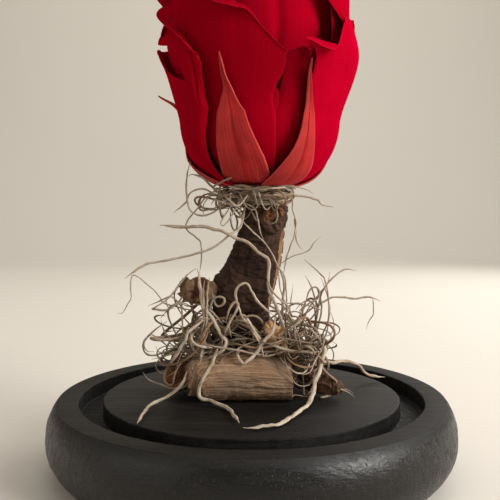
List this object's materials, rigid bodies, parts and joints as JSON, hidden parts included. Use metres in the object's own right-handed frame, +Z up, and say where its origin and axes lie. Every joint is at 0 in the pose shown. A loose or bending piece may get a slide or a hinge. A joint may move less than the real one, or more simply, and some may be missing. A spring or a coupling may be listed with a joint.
{
  "type": "preserved rose on wooden dome base",
  "caption": "Preserved red rose head on an upright bark branch wrapped in dried moss, standing on a round black wooden base with a ring groove for a dome.",
  "frame": {"origin": "centre of the base's underside", "axes": "+Z up through the rose, -Y to the front, +X to the right as seen from the front"},
  "size_m": [0.13, 0.13, 0.1542],
  "materials": {
    "black_stained_wood": "black stain, satin, turned grain",
    "dark_bark": "rough dark brown bark",
    "peeled_wood": "matt peeled wood with fine grain",
    "rusty_bark": "rough orange-brown bark",
    "crimson_petal": "velvety preserved petal",
    "brick_red_sepal": "matt fibrous sepal",
    "dried_moss": "dry beige-grey strands"
  },
  "bodies": {
    "root": {"base": "black_stained_wood", "branch": "dark_bark", "branch_arm": "dark_bark", "log": "peeled_wood", "wood_chunk": "rusty_bark", "root_piece": "peeled_wood", "bark_flake": "rusty_bark", "receptacle": "brick_red_sepal", "sepal_front": "brick_red_sepal", "sepal_front_right": "brick_red_sepal", "sepal_left": "brick_red_sepal", "sepal_right_back": "brick_red_sepal", "sepal_back": "brick_red_sepal", "petal_front_left": "crimson_petal", "petal_right": "crimson_petal", "petal_back": "crimson_petal", "petal_left": "crimson_petal", "petal_right_back": "crimson_petal", "petal_front": "crimson_petal", "petal_front_inner": "crimson_petal", "petal_middle": "crimson_petal", "petal_left_wavy": "crimson_petal", "petal_right_inner": "crimson_petal", "petal_left_inner": "crimson_petal", "petal_back_inner": "crimson_petal", "bud_petal_01": "crimson_petal", "bud_petal_02": "crimson_petal", "bud_petal_03": "crimson_petal", "bud_petal_04": "crimson_petal", "bud_petal_05": "crimson_petal", "bud_petal_06": "crimson_petal", "bud_petal_07": "crimson_petal", "bud_petal_08": "crimson_petal", "bud_petal_09": "crimson_petal", "bud_petal_10": "crimson_petal", "bud_petal_11": "crimson_petal", "bud_petal_12": "crimson_petal", "bud_petal_13": "crimson_petal", "moss_tangle": "dried_moss", "moss_collar": "dried_moss"}
  },
  "joints": []
}
